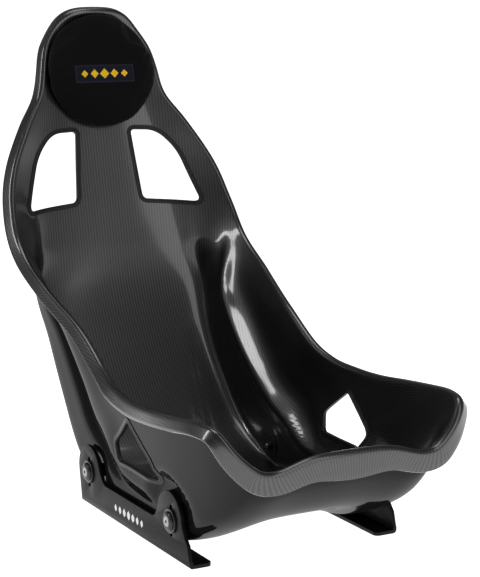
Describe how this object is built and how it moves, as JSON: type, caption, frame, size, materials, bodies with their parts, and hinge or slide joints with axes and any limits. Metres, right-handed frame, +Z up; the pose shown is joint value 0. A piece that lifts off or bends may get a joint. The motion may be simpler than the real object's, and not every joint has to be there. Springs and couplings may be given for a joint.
{
  "type": "racing bucket seat",
  "caption": "Fixed-back carbon racing bucket seat with harness slots and a removable head pad, bolted between slotted side brackets that set its height and tilt.",
  "frame": {"origin": "on the floor under the middle of the bounding box, where the undersides of the bracket feet are at z = 0", "axes": "+Z up, the occupant faces -Y, +X to the occupant's left; the seat is symmetric about the plane x = 0"},
  "size_m": [0.4864, 0.9574, 0.8558],
  "materials": {
    "carbon": "clear-coated twill carbon inside and over the rim, plain gloss gel-coat outside",
    "edge_trim": "satin extruded edge trim",
    "velour": "short black velour stretched over foam",
    "foam": "dark open-cell upholstery foam",
    "board": "thin moulded backing board",
    "badge": "woven patch with a row of plain yellow lozenges",
    "hook_and_loop": "black hook-and-loop tape",
    "black_powder": "satin black powder coat over folded aluminium",
    "black_anodised": "satin black anodised aluminium",
    "black_zinc": "black zinc-plated steel",
    "zinc_steel": "bright zinc-plated steel"
  },
  "bodies": {
    "brackets": {"side_bracket_left": "black_powder", "side_bracket_right": "black_powder"},
    "rear_bolts": {"rear_left_screw": "zinc_steel", "rear_left_cup_washer": "black_anodised", "rear_left_large_washer": "black_anodised", "rear_left_spacer": "black_anodised", "rear_left_inner_washer": "black_zinc", "rear_left_lock_nut": "black_zinc", "rear_right_screw": "zinc_steel", "rear_right_cup_washer": "black_anodised", "rear_right_large_washer": "black_anodised", "rear_right_spacer": "black_anodised", "rear_right_inner_washer": "black_zinc", "rear_right_lock_nut": "black_zinc"},
    "seat": {"seat_shell": "carbon", "shoulder_slot_trim_left": "edge_trim", "shoulder_slot_trim_right": "edge_trim", "lap_slot_trim_left": "edge_trim", "lap_slot_trim_right": "edge_trim", "loop_tape_upper": "hook_and_loop", "loop_tape_lower": "hook_and_loop", "front_left_screw": "zinc_steel", "front_left_cup_washer": "black_anodised", "front_left_large_washer": "black_anodised", "front_left_spacer": "black_anodised", "front_left_inner_washer": "black_zinc", "front_left_lock_nut": "black_zinc", "front_right_screw": "zinc_steel", "front_right_cup_washer": "black_anodised", "front_right_large_washer": "black_anodised", "front_right_spacer": "black_anodised", "front_right_inner_washer": "black_zinc", "front_right_lock_nut": "black_zinc"},
    "head_pad": {"head_pad_cover": "velour", "head_pad_foam": "foam", "head_pad_back_board": "board", "head_pad_badge": "badge", "hook_tape_upper": "hook_and_loop", "hook_tape_lower": "hook_and_loop"}
  },
  "joints": [
    {"name": "height_adjust", "type": "slide", "parent": "brackets", "child": "rear_bolts", "axis": [0, 0, 1], "range_m": [-0.003, 0.014]},
    {"name": "tilt_adjust", "type": "hinge", "parent": "rear_bolts", "child": "seat", "pos_m": [0, 0.0756, 0.062], "axis": [1, 0, 0], "range_deg": [-1.2, 1.2]},
    {"name": "head_pad_release", "type": "slide", "parent": "seat", "child": "head_pad", "axis": [0, -0.9781, 0.208], "range_m": [0, 0.06]}
  ]
}
